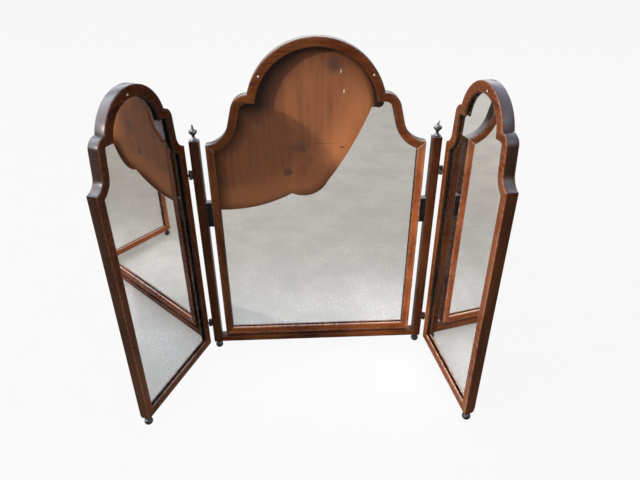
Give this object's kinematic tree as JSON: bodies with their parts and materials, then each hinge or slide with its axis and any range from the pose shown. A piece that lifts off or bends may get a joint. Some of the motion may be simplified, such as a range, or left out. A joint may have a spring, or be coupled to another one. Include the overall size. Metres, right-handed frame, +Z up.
{
  "type": "triple dressing table mirror",
  "caption": "Free-standing triple dressing table mirror with arched mahogany frames, a tilting centre mirror between finialled posts and hinged folding side wings on ball feet.",
  "frame": {"origin": "on the table's surface, under the middle of the object's box with the wings as they stand", "axes": "+Z up, -Y the way the centre mirror faces, +X towards the right wing as seen from the front"},
  "size_m": [0.6138, 0.246, 0.642],
  "materials": {
    "mahogany": "polished",
    "softwood": "sawn",
    "filler": "matt",
    "board": "matt",
    "mirror_plate": "silvered glass",
    "japanned_iron": "satin black",
    "steel": "satin",
    "aged_brass": "dark patina",
    "leather": "matt"
  },
  "bodies": {
    "stand": {"post_left": "mahogany", "post_right": "mahogany", "stretcher": "mahogany", "finial_left": "aged_brass", "finial_right": "aged_brass", "post_foot_left": "aged_brass", "post_foot_right": "aged_brass", "pivot_block_post_left": "japanned_iron", "pivot_block_post_right": "japanned_iron", "pivot_pins": "steel", "friction_washers": "leather", "pivot_post_screws": "steel", "hinge_post_leaf_left_top": "aged_brass", "hinge_post_leaf_left_bottom": "aged_brass", "hinge_post_leaf_right_top": "aged_brass", "hinge_post_leaf_right_bottom": "aged_brass", "hinge_pin_left_top": "aged_brass", "hinge_pin_left_bottom": "aged_brass", "hinge_pin_right_top": "aged_brass", "hinge_pin_right_bottom": "aged_brass", "hinge_post_screws": "aged_brass"},
    "centre": {"centre_head_rail": "mahogany", "centre_stile_left": "mahogany", "centre_stile_right": "mahogany", "centre_bottom_rail": "mahogany", "centre_plate": "mirror_plate", "centre_glazing_blocks": "softwood", "centre_backboard": "board", "centre_back_pins": "steel", "centre_plugs": "filler", "pivot_block_panel_left": "japanned_iron", "pivot_block_panel_right": "japanned_iron", "pivot_panel_screws": "steel"},
    "left_wing": {"left_wing_head_rail": "mahogany", "left_wing_inner_stile": "mahogany", "left_wing_outer_stile": "mahogany", "left_wing_bottom_rail": "mahogany", "left_wing_plate": "mirror_plate", "left_wing_glazing_blocks": "softwood", "left_wing_backboard": "board", "left_wing_back_pins": "steel", "left_wing_plug": "filler", "left_wing_foot": "aged_brass", "left_wing_hinge_leaf_top": "aged_brass", "left_wing_hinge_leaf_bottom": "aged_brass", "left_wing_hinge_screws": "aged_brass"},
    "right_wing": {"right_wing_head_rail": "mahogany", "right_wing_inner_stile": "mahogany", "right_wing_outer_stile": "mahogany", "right_wing_bottom_rail": "mahogany", "right_wing_plate": "mirror_plate", "right_wing_glazing_blocks": "softwood", "right_wing_backboard": "board", "right_wing_back_pins": "steel", "right_wing_plug": "filler", "right_wing_foot": "aged_brass", "right_wing_hinge_leaf_top": "aged_brass", "right_wing_hinge_leaf_bottom": "aged_brass", "right_wing_hinge_screws": "aged_brass"}
  },
  "joints": [
    {"name": "centre_tilt", "type": "hinge", "parent": "stand", "child": "centre", "pos_m": [0.02713, 0.11003, 0.3265], "axis": [1, 0, 0], "range_deg": [-12, 12]},
    {"name": "left_wing_hinge", "type": "hinge", "parent": "stand", "child": "left_wing", "pos_m": [-0.19997, 0.10143, 0.073], "axis": [0, 0, 1], "range_deg": [-77.5, 47.5]},
    {"name": "right_wing_hinge", "type": "hinge", "parent": "stand", "child": "right_wing", "pos_m": [0.25423, 0.10143, 0.073], "axis": [0, 0, -1], "range_deg": [-92.5, 32.5]}
  ]
}
